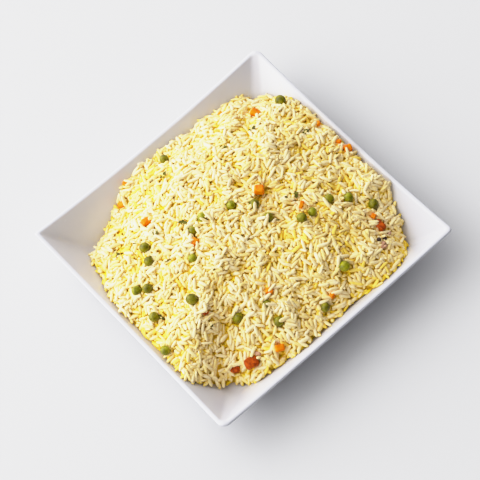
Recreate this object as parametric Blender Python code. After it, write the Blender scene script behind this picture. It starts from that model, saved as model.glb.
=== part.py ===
"""Rice pilaf heaped on a square white plate, with its peas, carrot dice and peppercorns.

Frame: metres, +Z up, origin at the middle of the plate's underside, plate sides along X and Y.
The plate is a lofted shell on a foot ring.  The rice is one solid, from the bare heap's outline and
crown, with a relief of grain-sized ridges, and a pocket under each pea, carrot and peppercorn.
"""
import math
import random

import bmesh
import bpy
import numpy as np
from mathutils import Matrix, Vector
from mathutils.bvhtree import BVHTree
from mathutils.geometry import delaunay_2d_cdt

MM = 0.001
GAP = 0.3 * MM                   # clearance between touching pieces

# ------------------------------------------------------------------ plate
PLATE_HALF = 120 * MM            # half the side, lip included
RIM_MIDDLE = 34 * MM             # rim height halfway along a side
CORNER_LIFT = 6 * MM             # how much higher the four corners stand
SIDE_BOW = 1 * MM                # how far a side bends in at its middle
FLOOR_TOP = 6.5 * MM             # eating surface of the flat bottom
FLOOR_HALF = 86 * MM             # half the side of the flat bottom
FOOT_HALF = 79 * MM              # outer half side of the foot ring
FOOT_WIDTH = 5.5 * MM
FOOT_RECESS = 2.5 * MM           # depth of the hollow inside the foot ring
LIP_WIDTH = 2.6 * MM
SIDE_STEPS = 8                   # facets along a side
CORNER_STEPS = 4                 # facets round a corner
# rim corner radii, from the corner at (+x, +y) turning counter-clockwise
CORNER_RADII = (4 * MM, 8 * MM, 4 * MM, 7 * MM)

# ------------------------------------------------------------------ rice heap
CROWN = 62 * MM                  # highest level of the smooth heap
CROWN_POWER = 2.0                # fullness of the dome towards its middle
EDGE_POWER = 0.85                # steepness of the dome at its edge
EDGE_THICK = 2.8 * MM            # the heap ends one grain thick
WALL_LIMIT = 115.3 * MM          # no rice past this half width, below the lip
# the heap's outline: direction in degrees and distance from the middle in millimetres
OUTLINE = (
    (-180, 110), (-160, 114.5), (-148, 116), (-132, 126), (-113, 117.5), (-97, 115),
    (-78, 117), (-60, 130.5), (-46, 120), (-35, 122), (-22, 114.5), (0, 107.5),
    (15, 111), (31, 131), (48, 131), (60, 124), (68, 126.5), (88, 117.5),
    (108, 123), (128, 133.5), (140, 133), (154, 118.5), (167, 109.5),
)
# broad mounds and hollows: x, y, reach and height, in millimetres
MOUNDS = (
    (-30, -20, 36, 4.0),
    (-30, 55, 30, 3.5),
    (52, 40, 26, 5.0),
    (40, -78, 24, 5.0),
    (30, 78, 16, -4.5),
    (15, 35, 13, -5.0),
    (72, -12, 17, -7.0),
    (60, -60, 14, -4.0),
)
RIPPLES = 26                     # smaller uneven clumps over the heap
RIPPLE_HEIGHT = 1.6 * MM
RIPPLE_REACH = (8 * MM, 15 * MM)
GRAIN_PITCH = 8.2 * MM           # spacing of the ridges that stand for grains
GRAIN_RIDGE = 5.8 * MM           # length of a ridge between its two raised ends
RIDGE_UP = 1.1 * MM
VALLEY_DOWN = 1.0 * MM
EDGE_STEP = 5 * MM               # spacing of the points along the outline
EDGE_WOBBLE = 2.2 * MM           # how far every other point is drawn in
EDGE_CLEAR = 3.0 * MM            # ridges stay this far inside the outline
RIDGE_CLEAR = 1.2 * MM           # low points stay this far from a ridge's ends

# ------------------------------------------------------------------ toppings, in millimetres
# peas: x, y, radius, how far the middle stands above the smooth heap
PEAS = (
    (-92, -2, 4.2, 1.2), (-67, 101, 4.6, 1.8), (-10, 5, 4.2, -0.8), (2, 19, 4.5, 1.0),
    (18, 19.5, 4.4, 1.0), (-18, -18, 4.2, 1.0), (-16, -30, 4.0, -0.8), (36, 66, 4.3, 1.0),
    (43, 79, 4.6, 1.2), (58, 91, 4.5, 1.2), (37, 38, 4.6, 1.0), (38, 47.8, 3.9, 0.6),
    (-38, -65.5, 4.5, 1.0), (-26, -71, 4.2, 1.0), (2, -46, 3.8, 0.6), (27, -69, 5.0, 1.4),
    (58, -51, 4.6, 1.4), (-16.5, -93.5, 4.2, 1.0), (-10, -86.5, 4.4, 1.0), (11, -98, 4.4, 1.2),
    (38, -109.5, 4.4, 2.0), (67, -28, 4.2, -0.4), (83, -30, 4.3, 1.0), (87, 36.5, 4.6, 1.0),
    (97, 5, 4.0, 0.4),
)
# carrot dice: x, y, length, width, thickness, heading in degrees
CARROTS = (
    (-73, 79, 8, 7, 5, 20), (-5, 30, 8.5, 8, 6, 50), (-57, -49, 8, 6, 5, 80),
    (-104, -36, 6, 5, 4, 10), (-92.5, -51, 6, 5, 4, 60), (-7, -36.5, 8, 5, 4, 100),
    (-28, 108, 4, 4, 3, 0), (-4, 109, 4.5, 3, 3, 30), (6, 110, 7, 6.5, 5, 70),
    (27, 46, 7, 3.5, 3.5, 120), (66, 84, 4, 4, 3.5, 20), (74, 83, 11, 6.5, 5, 5),
    (61.5, -19.5, 6, 5, 4, 45), (42, -68, 5, 4, 3, 80), (89, -66, 11.5, 9, 7, 75),
    (79.5, -77.5, 8, 5.5, 5, 40), (97, -43, 8, 6, 5, 60), (94, 16, 7, 4, 4, 110),
    (-93.5, 59, 5, 4, 3, 0),
)
# peppercorns: x, y, radius
PEPPERCORNS = ((84, 73.4, 2.0), (84.5, 78.4, 2.0))
DICE_ABOVE = 0.15                # share of its thickness that a dice's middle stands above the rice
DICE_SEED = 100
PEPPER_ABOVE = 0.4               # the same, as a share of a peppercorn's radius


def clear_scene():
    """Remove every object that the file holds."""
    for old in list(bpy.data.objects):
        bpy.data.objects.remove(old, do_unlink=True)


def material(name, colour, roughness):
    """A plain Principled material."""
    made = bpy.data.materials.new(name)
    made.use_nodes = True
    shader = made.node_tree.nodes["Principled BSDF"]
    shader.inputs["Base Color"].default_value = (*colour, 1.0)
    shader.inputs["Roughness"].default_value = roughness
    return made


def add_object(name, points, faces, finish):
    """One mesh object, from points and faces, with outward normals."""
    mesh = bpy.data.meshes.new(name)
    mesh.from_pydata([tuple(p) for p in points], [], faces)
    work = bmesh.new()
    work.from_mesh(mesh)
    bmesh.ops.recalc_face_normals(work, faces=work.faces)
    work.to_mesh(mesh)
    work.free()
    mesh.materials.append(finish)
    made = bpy.data.objects.new(name, mesh)
    bpy.context.collection.objects.link(made)
    return made


# ------------------------------------------------------------------ plate
def plate_ring(half, level, lift, roundness):
    """One loop of the plate: a square with rounded corners, bowed in and dipping at mid-side.

    lift is the share of the rim's dip that this loop takes, and roundness scales the corner radii.
    """
    loop = []
    for side in range(4):
        turn = Matrix.Rotation(math.radians(90 * side), 3, "Z")
        radius = CORNER_RADII[side] * roundness
        before = CORNER_RADII[side - 1] * roundness
        # this side runs up the +x edge of the turned square, into the corner at (+x, +y)
        for step in range(SIDE_STEPS):
            share = step / SIDE_STEPS
            along = -(half - before) + share * (2 * half - before - radius)
            loop.append(turn @ Vector((half, along, 0)))
        for step in range(CORNER_STEPS):
            angle = math.radians(90) * step / CORNER_STEPS
            loop.append(turn @ Vector((half - radius + radius * math.cos(angle),
                                       half - radius + radius * math.sin(angle), 0)))
    for point in loop:
        wide = max(abs(point.x), abs(point.y))
        share = min(abs(point.x), abs(point.y)) / wide
        pull = 1 - lift * SIDE_BOW / PLATE_HALF * (1 - share ** 2)
        if abs(point.x) >= abs(point.y):
            point.x *= pull
        else:
            point.y *= pull
        point.z = level + lift * CORNER_LIFT * share ** 2.4
    return loop


def make_plate(finish):
    """Loft the plate from the middle of its underside, round the lip, to its flat bottom."""
    rim = RIM_MIDDLE
    wall = FLOOR_HALF + 4 * MM
    inner = PLATE_HALF - LIP_WIDTH - 1 * MM
    sections = (
        # half side, level, share of the rim's dip, corner roundness
        (FOOT_HALF - FOOT_WIDTH - 1 * MM, FOOT_RECESS, 0.0, 2.2),
        (FOOT_HALF - FOOT_WIDTH, 0.0, 0.0, 2.2),
        (FOOT_HALF, 0.0, 0.0, 2.2),
        (FOOT_HALF + 1 * MM, 2.8 * MM, 0.0, 2.2),
        (FLOOR_HALF + 1 * MM, 3.6 * MM, 0.0, 2.0),
        (0.5 * (FLOOR_HALF + PLATE_HALF), 0.5 * rim, 0.5, 1.4),
        (PLATE_HALF - 1 * MM, rim - 2.6 * MM, 1.0, 1.0),
        (PLATE_HALF, rim - 1.2 * MM, 1.0, 1.0),
        (PLATE_HALF - 0.5 * MM, rim - 0.2 * MM, 1.0, 1.0),
        (PLATE_HALF - LIP_WIDTH, rim, 1.0, 0.8),
        (inner, rim - 0.8 * MM, 1.0, 0.8),
        (0.5 * (wall + inner), 0.5 * (FLOOR_TOP + rim) - 0.2 * MM, 0.5, 1.1),
        (wall, FLOOR_TOP + 1 * MM, 0.06, 1.4),
        (FLOOR_HALF, FLOOR_TOP, 0.0, 1.6),
    )
    points = []
    for half, level, lift, roundness in sections:
        points += plate_ring(half, level, lift, roundness)
    count = len(points) // len(sections)
    faces = [list(range(count)), list(range(len(points) - count, len(points)))]
    for row in range(len(sections) - 1):
        for i in range(count):
            j = (i + 1) % count
            a, b = row * count, (row + 1) * count
            faces.append([a + i, a + j, b + j])
            faces.append([a + i, b + j, b + i])
    return add_object("plate", points, faces, finish)


# ------------------------------------------------------------------ heap form
def outline_radius(angle):
    """Distance of the heap's outline in a direction: a smooth closed curve through OUTLINE."""
    degrees = np.array([row[0] for row in OUTLINE], float)
    reach = np.array([row[1] for row in OUTLINE], float) * MM
    degrees = np.concatenate([degrees[-2:] - 360, degrees, degrees[:3] + 360])
    reach = np.concatenate([reach[-2:], reach, reach[:3]])
    where = (np.degrees(angle) + 180) % 360 - 180
    k = np.clip(np.searchsorted(degrees, where, side="right") - 1, 1, len(degrees) - 3)
    span = degrees[k + 1] - degrees[k]
    t = (where - degrees[k]) / span
    slope_a = (reach[k + 1] - reach[k - 1]) / (degrees[k + 1] - degrees[k - 1]) * span
    slope_b = (reach[k + 2] - reach[k]) / (degrees[k + 2] - degrees[k]) * span
    smooth = ((2 * t ** 3 - 3 * t ** 2 + 1) * reach[k] + (t ** 3 - 2 * t ** 2 + t) * slope_a
              + (3 * t ** 2 - 2 * t ** 3) * reach[k + 1] + (t ** 3 - t ** 2) * slope_b)
    widest = np.maximum(np.abs(np.cos(angle)), np.abs(np.sin(angle)))
    return np.minimum(smooth, WALL_LIMIT / widest)


def plate_form(x, y):
    """Height of the plate's inner surface as a formula: flat bottom and four rising walls."""
    wide = np.maximum(np.abs(x), np.abs(y))
    share = np.minimum(np.abs(x), np.abs(y)) / np.maximum(wide, MM)
    climb = np.clip((wide - FLOOR_HALF - 3 * MM) / (PLATE_HALF - LIP_WIDTH - FLOOR_HALF - 4 * MM), 0, 1)
    rim = RIM_MIDDLE - 0.8 * MM + CORNER_LIFT * share ** 2.4
    return FLOOR_TOP + climb * (rim - FLOOR_TOP)


def clumps():
    """The smaller uneven clumps: x, y, reach and height of each, in metres."""
    draw = random.Random(7)
    rows = []
    for number in range(RIPPLES):
        angle = 2.4 * number
        radius = 100 * MM * math.sqrt((number + 0.5) / RIPPLES)
        reach = draw.uniform(*RIPPLE_REACH)
        height = RIPPLE_HEIGHT * draw.choice((-1, 1)) * draw.uniform(0.6, 1.4)
        rows.append((radius * math.cos(angle), radius * math.sin(angle), reach, height))
    return rows


def heap_height(x, y):
    """Height of the smooth heap: a dome over its outline, with mounds, hollows and clumps."""
    angle = np.arctan2(y, x)
    reach = outline_radius(angle)
    edge = plate_form(reach * np.cos(angle), reach * np.sin(angle)) + EDGE_THICK
    share = np.clip(np.hypot(x, y) / reach, 0, 1)
    dome = (1 - share ** CROWN_POWER) ** EDGE_POWER
    height = edge + (CROWN - edge) * dome
    inside = 1 - share ** 6
    rows = [tuple(v * MM for v in row) for row in MOUNDS] + clumps()
    for middle_x, middle_y, wide, tall in rows:
        away = ((x - middle_x) ** 2 + (y - middle_y) ** 2) / (2 * wide ** 2)
        height = height + tall * inside * np.exp(-away)
    return height


# ------------------------------------------------------------------ rice solid
def outline_points():
    """Points along the heap's edge, with the wobble of single grains."""
    draw = random.Random(3)
    fine = np.linspace(-math.pi, math.pi, 721)
    reach = outline_radius(fine)
    xs, ys = reach * np.cos(fine), reach * np.sin(fine)
    length = np.concatenate([[0], np.cumsum(np.hypot(np.diff(xs), np.diff(ys)))])
    count = int(length[-1] / EDGE_STEP)
    angles = np.interp(np.arange(count) * length[-1] / count, length, fine)
    points = []
    for number, angle in enumerate(angles):
        radius = float(outline_radius(np.array([angle]))[0])
        radius -= EDGE_WOBBLE * (number % 2) * draw.uniform(0.3, 1.0)
        points.append(Vector((radius * math.cos(angle), radius * math.sin(angle))))
    return points


def grain_ridges():
    """Ridges on a shaken honeycomb, and the low points between them.

    Returns the points, which pairs are ridges, and the height of each point over the heap.
    """
    draw = random.Random(11)
    points, pairs, lifts = [], [], []
    row_gap = GRAIN_PITCH * math.sqrt(3) / 2
    rows = int(PLATE_HALF / row_gap) + 1
    columns = int(PLATE_HALF / GRAIN_PITCH) + 1
    lows = []
    for row in range(-rows, rows + 1):
        for column in range(-columns, columns + 1):
            x = (column + 0.5 * (row % 2)) * GRAIN_PITCH
            y = row * row_gap
            heading = draw.uniform(0, math.pi)
            shake = Vector((draw.uniform(-1, 1), draw.uniform(-1, 1))) * 0.14 * GRAIN_PITCH
            tilt = draw.uniform(-0.6, 0.6)
            half = 0.5 * GRAIN_RIDGE * draw.uniform(0.8, 1.1)
            along = Vector((math.cos(heading), math.sin(heading))) * half
            ends = [Vector((x, y)) + shake - along, Vector((x, y)) + shake + along]
            if all(inside_heap(end, EDGE_CLEAR + EDGE_WOBBLE) for end in ends):
                pairs.append((len(points), len(points) + 1))
                points += ends
                lifts += [RIDGE_UP * (1 + tilt), RIDGE_UP * (1 - tilt)]
            for up in (-1, 1):
                lows.append(Vector((x, y + up * GRAIN_PITCH / math.sqrt(3))))
    ridge_count = len(points)
    for low in lows:
        near = min((low - points[k]).length for k in range(ridge_count))
        if near > RIDGE_CLEAR and inside_heap(low, EDGE_CLEAR + EDGE_WOBBLE):
            points.append(low)
            lifts.append(-VALLEY_DOWN * draw.uniform(0.4, 1.6))
    return points, pairs, lifts


def inside_heap(point, margin):
    """Whether a point lies inside the heap's outline, at least margin from it."""
    reach = float(outline_radius(np.array([math.atan2(point.y, point.x)]))[0])
    return point.length < reach - margin


def drop_to(tree, point):
    """Height of a surface straight below a point."""
    hit = tree.ray_cast(Vector((point.x, point.y, 0.3)), Vector((0, 0, -1)))[0]
    return hit.z


def make_rice(plate, finish):
    """The heap: grain relief on top, one grain thick at its edge, following the plate below."""
    tree = BVHTree.FromPolygons([v.co for v in plate.data.vertices],
                                [tuple(p.vertices) for p in plate.data.polygons])
    draw = random.Random(5)
    edge = outline_points()
    count = len(edge)
    ring = [(k, (k + 1) % count) for k in range(count)]

    relief, pairs, lifts = grain_ridges()
    top = edge + relief
    ridges = [(a + count, b + count) for a, b in pairs]
    flat, _, top_faces, _, _, _ = delaunay_2d_cdt(top, ring + ridges, [list(range(count))], 2, 1e-7)
    if len(flat) != len(top):
        raise ValueError("the heap's ridges cross")
    xs = np.array([p.x for p in top])
    ys = np.array([p.y for p in top])
    level = heap_height(xs, ys)
    points = []
    for k, p in enumerate(top):
        if k < count:
            z = drop_to(tree, p) + GAP + EDGE_THICK * draw.uniform(0.75, 1.25)
        else:
            z = max(level[k] + lifts[k - count], drop_to(tree, p) + 2 * MM)
        points.append((p.x, p.y, z))

    # underside: a square just inside the walls' foot and a few points on the flat bottom
    low = list(edge)
    reach = FLOOR_HALF + 4 * MM
    for side in range(4):
        turn = Matrix.Rotation(math.radians(90 * side), 2)
        for step in range(1, 8):
            low.append(turn @ Vector((reach, reach * (step / 4 - 1))))
    low += [Vector((x * 40 * MM, y * 40 * MM)) for x in (-1, 0, 1) for y in (-1, 0, 1)]
    low = low[:count] + [p for p in low[count:] if inside_heap(p, EDGE_CLEAR + EDGE_WOBBLE)]
    _, _, low_faces, _, _, _ = delaunay_2d_cdt(low, ring, [list(range(count))], 2, 1e-7)
    base = len(points)
    for p in low:
        points.append((p.x, p.y, drop_to(tree, p) + GAP + 0.05 * MM))

    faces = [list(f) for f in top_faces] + [[k + base for k in reversed(f)] for f in low_faces]
    for a, b in ring:
        faces.append([a, b, b + base])
        faces.append([a, b + base, a + base])
    return add_object("rice", points, faces, finish)


# ------------------------------------------------------------------ toppings
def pea_mesh(radius, seed):
    """A pea: a ball of facets, a little flattened and uneven."""
    draw = random.Random(seed)
    work = bmesh.new()
    bmesh.ops.create_icosphere(work, subdivisions=2, radius=radius)
    squash = Vector([draw.uniform(0.93, 1.0) for _ in range(3)])
    for vert in work.verts:
        vert.co = Vector([c * s for c, s in zip(vert.co, squash)])
    bmesh.ops.rotate(work, verts=work.verts, matrix=Matrix.Rotation(draw.uniform(0, 3), 3, "Z"))
    return work


def dice_mesh(length, width, thick, heading, seed, edge=0.12):
    """A piece of diced carrot: an uneven block, with its edges taken off by a share of its size."""
    draw = random.Random(seed)
    work = bmesh.new()
    bmesh.ops.create_cube(work, size=1)
    for vert in work.verts:
        vert.co.x *= length * draw.uniform(0.82, 1.0)
        vert.co.y *= width * draw.uniform(0.82, 1.0)
        vert.co.z *= thick * draw.uniform(0.85, 1.0)
    if edge:
        bmesh.ops.bevel(work, geom=list(work.edges), offset=edge * min(length, width, thick),
                        segments=1, affect="EDGES", profile=0.5)
    tip = Matrix.Rotation(math.radians(draw.uniform(-18, 18)), 3, "X")
    lean = Matrix.Rotation(math.radians(draw.uniform(-18, 18)), 3, "Y")
    turn = Matrix.Rotation(math.radians(heading), 3, "Z")
    bmesh.ops.rotate(work, verts=work.verts, matrix=turn @ tip @ lean)
    return work


def pepper_mesh(radius):
    """A peppercorn: a small ball of 20 facets."""
    work = bmesh.new()
    bmesh.ops.create_icosphere(work, subdivisions=1, radius=radius)
    return work


def place_mesh(name, work, place, collection):
    """An object from a mesh in the making, with its origin at its middle."""
    bmesh.ops.recalc_face_normals(work, faces=work.faces)
    mesh = bpy.data.meshes.new(name)
    work.to_mesh(mesh)
    work.free()
    made = bpy.data.objects.new(name, mesh)
    made.location = place
    collection.objects.link(made)
    return made


def make_topping(name, work, cutter, place, finish, pockets):
    """One topping, and the cutter of its pocket, grown all round by the clearance."""
    made = place_mesh(name, work, place, bpy.context.collection)
    made.data.materials.append(finish)
    bpy.context.view_layer.update()
    reach = min(made.dimensions) / 2
    grown = (reach + 1.3 * GAP) / reach
    bmesh.ops.scale(cutter, verts=cutter.verts, vec=(grown, grown, grown))
    place_mesh("cut_" + name, cutter, place, pockets)


def make_toppings(finishes, pockets):
    """Peas, carrot dice and peppercorns, set into the smooth heap's surface."""
    for number, (x, y, radius, above) in enumerate(PEAS, 1):
        place = (x * MM, y * MM, surface(x, y) + above * MM)
        make_topping(f"pea_{number:02d}", pea_mesh(radius * MM, number),
                     pea_mesh(radius * MM, number), place, finishes["pea"], pockets)
    for number, (x, y, length, width, thick, heading) in enumerate(CARROTS, 1):
        place = (x * MM, y * MM, surface(x, y) + DICE_ABOVE * thick * MM)
        sizes = (length * MM, width * MM, thick * MM, heading, DICE_SEED + number)
        make_topping(f"carrot_{number:02d}", dice_mesh(*sizes), dice_mesh(*sizes, edge=0),
                     place, finishes["carrot"], pockets)
    for number, (x, y, radius) in enumerate(PEPPERCORNS, 1):
        place = (x * MM, y * MM, surface(x, y) + PEPPER_ABOVE * radius * MM)
        make_topping(f"peppercorn_{number}", pepper_mesh(radius * MM), pepper_mesh(radius * MM),
                     place, finishes["peppercorn"], pockets)


def surface(x, y):
    """Height of the smooth heap at a place given in millimetres."""
    return float(heap_height(np.array([x * MM]), np.array([y * MM]))[0])


def cut_pockets(rice, pockets):
    """Cut the toppings' pockets into the rice, drop the loose scraps and remove the cutters."""
    cut = rice.modifiers.new("pockets", "BOOLEAN")
    cut.operation = "DIFFERENCE"
    cut.operand_type = "COLLECTION"
    cut.collection = pockets
    cut.solver = "EXACT"
    bpy.context.view_layer.update()
    depsgraph = bpy.context.evaluated_depsgraph_get()
    shape = bpy.data.meshes.new_from_object(rice.evaluated_get(depsgraph))
    rice.modifiers.clear()
    rice.data = shape
    for old in list(pockets.objects):
        bpy.data.objects.remove(old, do_unlink=True)
    bpy.data.collections.remove(pockets)
    drop_scraps(shape)


def drop_scraps(mesh):
    """Keep only the largest connected body of a mesh, as triangles."""
    work = bmesh.new()
    work.from_mesh(mesh)
    bmesh.ops.triangulate(work, faces=work.faces)
    bmesh.ops.remove_doubles(work, verts=work.verts, dist=0.01 * MM)
    bmesh.ops.dissolve_degenerate(work, edges=work.edges, dist=0.01 * MM)
    bmesh.ops.triangulate(work, faces=work.faces)
    left = set(work.verts)
    bodies = []
    while left:
        stack = [left.pop()]
        body = set(stack)
        while stack:
            for edge in stack.pop().link_edges:
                for vert in edge.verts:
                    if vert in left:
                        left.remove(vert)
                        body.add(vert)
                        stack.append(vert)
        bodies.append(body)
    bodies.sort(key=len, reverse=True)
    scraps = [vert for body in bodies[1:] for vert in body]
    bmesh.ops.delete(work, geom=scraps, context="VERTS")
    work.to_mesh(mesh)
    work.free()


def main():
    """Build every piece."""
    clear_scene()
    finishes = {
        "glaze": material("white_glaze", (0.82, 0.80, 0.84), 0.25),
        "rice": material("yellow_rice", (0.87, 0.74, 0.35), 0.5),
        "pea": material("pea_green", (0.20, 0.26, 0.03), 0.4),
        "carrot": material("carrot_orange", (0.75, 0.17, 0.02), 0.45),
        "peppercorn": material("pepper_black", (0.05, 0.04, 0.04), 0.6),
    }
    plate = make_plate(finishes["glaze"])
    rice = make_rice(plate, finishes["rice"])
    pockets = bpy.data.collections.new("pockets")
    bpy.context.scene.collection.children.link(pockets)
    make_toppings(finishes, pockets)
    bpy.context.view_layer.update()
    cut_pockets(rice, pockets)


main()
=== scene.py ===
# %% [markdown]
# # Rice pilaf on a square plate
# A heap of yellow rice with peas, diced carrot and a few peppercorns, on the white plate that carries it.
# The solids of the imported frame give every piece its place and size. This lesson gives them their
# looks: a smooth glazed plate, some thousands of single grains that rest on each other, and toppings
# with skin, wrinkles and cut faces. Each step says what the real thing is and why it is made this way.

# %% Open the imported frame
import math

import bpy
import numpy as np
from mathutils import Matrix, Vector
from mathutils.bvhtree import BVHTree


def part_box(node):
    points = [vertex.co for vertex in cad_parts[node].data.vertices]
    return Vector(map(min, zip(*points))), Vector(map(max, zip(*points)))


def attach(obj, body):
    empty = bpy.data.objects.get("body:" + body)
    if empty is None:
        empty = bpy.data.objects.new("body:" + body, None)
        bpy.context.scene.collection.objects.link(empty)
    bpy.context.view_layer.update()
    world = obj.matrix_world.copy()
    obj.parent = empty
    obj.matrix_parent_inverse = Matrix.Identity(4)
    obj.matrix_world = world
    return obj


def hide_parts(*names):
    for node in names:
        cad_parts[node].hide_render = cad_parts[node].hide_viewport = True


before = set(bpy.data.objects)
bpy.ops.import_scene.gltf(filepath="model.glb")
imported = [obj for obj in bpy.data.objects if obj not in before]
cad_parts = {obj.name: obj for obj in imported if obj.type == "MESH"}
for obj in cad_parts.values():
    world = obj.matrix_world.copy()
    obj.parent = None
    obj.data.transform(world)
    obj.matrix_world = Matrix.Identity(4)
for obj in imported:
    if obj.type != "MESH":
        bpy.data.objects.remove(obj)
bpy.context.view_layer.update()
MM = 0.001

# %% [markdown]
# ## Camera
# The plate is seen from high above one side, turned a little in the frame. The camera looks down at
# 61 degrees through a long lens from two metres, so the plate keeps its square shape. Three axes give
# its rotation: to the right and upwards in the view, and back towards the camera.

# %% Camera
AZIMUTH, ELEVATION, ROLL = (math.radians(angle) for angle in (68.7, 61.3, -21.65))
CAMERA_DISTANCE = 2.078
LENS, SENSOR = 194.8, 36.0
AIM = Vector((-0.0040, -0.0011, 0.020))

back = Vector((math.sin(AZIMUTH) * math.cos(ELEVATION), -math.cos(AZIMUTH) * math.cos(ELEVATION),
               math.sin(ELEVATION)))
level_right = Vector((math.cos(AZIMUTH), math.sin(AZIMUTH), 0))
level_up = back.cross(level_right)
right = math.cos(ROLL) * level_right + math.sin(ROLL) * level_up
up = back.cross(right)
camera = bpy.data.objects.new("camera", bpy.data.cameras.new("camera"))
camera.data.lens = LENS
camera.data.sensor_width = SENSOR
turn = Matrix((right, up, back)).transposed().to_4x4()
camera.matrix_world = Matrix.Translation(AIM + back * CAMERA_DISTANCE) @ turn
bpy.context.scene.collection.objects.link(camera)
bpy.context.scene.camera = camera
print("camera stands", round(camera.matrix_world.translation.z, 2), "m above the table")

# %% [markdown]
# ## Light
# One large soft lamp stands on the left of the view and shades the lower right of the heap. The
# surrounding is pale on the same side and darkens towards the other, like a room with one window. Its
# strength grows with the dot product of a direction and the way to the window. Light beyond white is
# rolled off softly, as film does, so that pale grains keep their yellow.

# %% A soft lamp
LAMP_WAY = Vector((-0.75, -0.65, 0.5)).normalized()
LAMP_DISTANCE, LAMP_SIZE, LAMP_WATTS = 1.5, 2.1, 29

lamp = bpy.data.objects.new("key_lamp", bpy.data.lights.new("key_lamp", "AREA"))
lamp.data.size = LAMP_SIZE
lamp.data.energy = LAMP_WATTS
lamp.matrix_world = (Matrix.Translation(LAMP_WAY * LAMP_DISTANCE)
                     @ LAMP_WAY.to_track_quat("Z", "Y").to_matrix().to_4x4())
bpy.context.scene.collection.objects.link(lamp)
print("a lamp", LAMP_SIZE, "m wide stands", LAMP_DISTANCE, "m from the plate")

# %% A one-sided surrounding
WINDOW = Vector((-0.8, -0.5, 0.3)).normalized()
WINDOW_STRENGTH = 2.4
DARK_FROM = -0.45

surround = bpy.data.worlds.new("surround")
surround.use_nodes = True
nodes, link = surround.node_tree.nodes, surround.node_tree.links.new
background = nodes["Background"]
background.inputs["Color"].default_value = (1.0, 1.0, 1.0, 1)
facing, strength = nodes.new("ShaderNodeVectorMath"), nodes.new("ShaderNodeMapRange")
facing.operation = "DOT_PRODUCT"
facing.inputs[1].default_value = WINDOW
strength.inputs["From Min"].default_value = DARK_FROM
strength.inputs["To Max"].default_value = WINDOW_STRENGTH
link(nodes.new("ShaderNodeTexCoord").outputs["Generated"], facing.inputs[0])
link(facing.outputs["Value"], strength.inputs["Value"])
link(strength.outputs["Result"], background.inputs["Strength"])
bpy.context.scene.world = surround
print("surrounding:", WINDOW_STRENGTH, "strong at the window")

# %% Film curve: light that falls in, and how bright it shows
FILM = ((0.0, 0.0), (0.25, 0.26), (0.6, 0.62), (0.85, 0.80), (1.15, 0.88), (2.0, 0.92))
look = bpy.context.scene.view_settings
look.view_transform = "Standard"
look.use_curve_mapping = True
look.curve_mapping.clip_max_x = FILM[-1][0]
film = look.curve_mapping.curves[3].points
film[0].location, film[1].location = FILM[0], FILM[-1]
for place in FILM[1:-1]:
    film.new(*place)
look.curve_mapping.update()
print("film shows light", FILM[-1][0], "as", FILM[-1][1])

# %% [markdown]
# ## Tools for meshes
# Every piece here is a skin over rings: loops of points, one after the other, closed at both ends by
# a fan. A plate, a pea and a grain of rice are all such skins, so one function joins them all.
# The points are whole numpy arrays, and `foreach_set` hands them to Blender in one go.

# %% Skins over rings


def ring_faces(rows, columns):
    """Quads between neighbouring rings, and fans to the two end points, as index arrays."""
    k = np.arange(columns)
    following = (k + 1) % columns
    rings = np.arange(rows - 1)[:, None] * columns
    quads = np.stack([rings + k, rings + following, rings + columns + following, rings + columns + k], -1)
    first, last = rows * columns, rows * columns + 1
    top = (rows - 1) * columns
    fan_a = np.stack([np.full(columns, first), following, k], -1)
    fan_b = np.stack([np.full(columns, last), top + k, top + following], -1)
    return quads.reshape(-1, 4), np.concatenate([fan_a, fan_b])


def ring_points(rings, ends=None):
    """The rings' points in one list, followed by the two end points."""
    if ends is None:
        ends = np.stack([rings[0].mean(0), rings[-1].mean(0)])
    return np.concatenate([rings.reshape(-1, 3), ends])


def fill_mesh(name, points, quads, triangles):
    """A smooth mesh object from arrays of points, quads and triangles."""
    mesh = bpy.data.meshes.new(name)
    corners = np.concatenate([quads.ravel(), triangles.ravel()]).astype(np.int32)
    sizes = np.concatenate([np.full(len(quads), 4), np.full(len(triangles), 3)]).astype(np.int32)
    starts = np.concatenate([[0], np.cumsum(sizes)[:-1]]).astype(np.int32)
    mesh.vertices.add(len(points))
    mesh.vertices.foreach_set("co", np.ascontiguousarray(points, np.float32).ravel())
    mesh.loops.add(len(corners))
    mesh.loops.foreach_set("vertex_index", corners)
    mesh.polygons.add(len(sizes))
    mesh.polygons.foreach_set("loop_start", starts)
    mesh.polygons.foreach_set("use_smooth", np.ones(len(sizes), bool))
    mesh.update(calc_edges=True)
    mesh.validate()
    made = bpy.data.objects.new(name, mesh)
    bpy.context.scene.collection.objects.link(made)
    return made


def skin(name, rings, ends=None):
    """A closed skin over rings, turned so that its faces point outwards.

    The signed volume, the sum of a . (b x c) / 6 over the triangles, is negative when it is inside out.
    """
    points = ring_points(rings, ends)
    quads, fans = ring_faces(rings.shape[0], rings.shape[1])
    triangles = np.concatenate([quads[:, :3], quads[:, [0, 2, 3]], fans])
    a, b, c = (points[triangles[:, k]] for k in range(3))
    if np.einsum("ij,ij->", a, np.cross(b, c)) < 0:
        quads, fans = quads[:, ::-1], fans[:, ::-1]
    return fill_mesh(name, points, quads, fans)


def write_attribute(made, name, values):
    """One number for each point, which a material can read by name."""
    made.data.attributes.new(name, "FLOAT", "POINT").data.foreach_set("value", values.astype(np.float32))


def place_on_frame(made, material, slot, *nodes):
    """Give a piece its material, let it ride on the frame, and let it stand for its nodes."""
    made.data.materials.append(material)
    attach(made, "root")
    if nodes:
        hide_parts(*nodes)
    return made


print("a ball of 6 rings by 8 has", sum(len(f) for f in ring_faces(6, 8)), "faces")

# %% [markdown]
# ## Tools for finishes
# Food is never one colour. Two small node groups serve all the materials: one mottles a colour
# between two tones by noise, and one gives a moist surface its shallow unevenness. Numbers that are
# the same all over stay on the shader itself.

# %% Node groups


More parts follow.
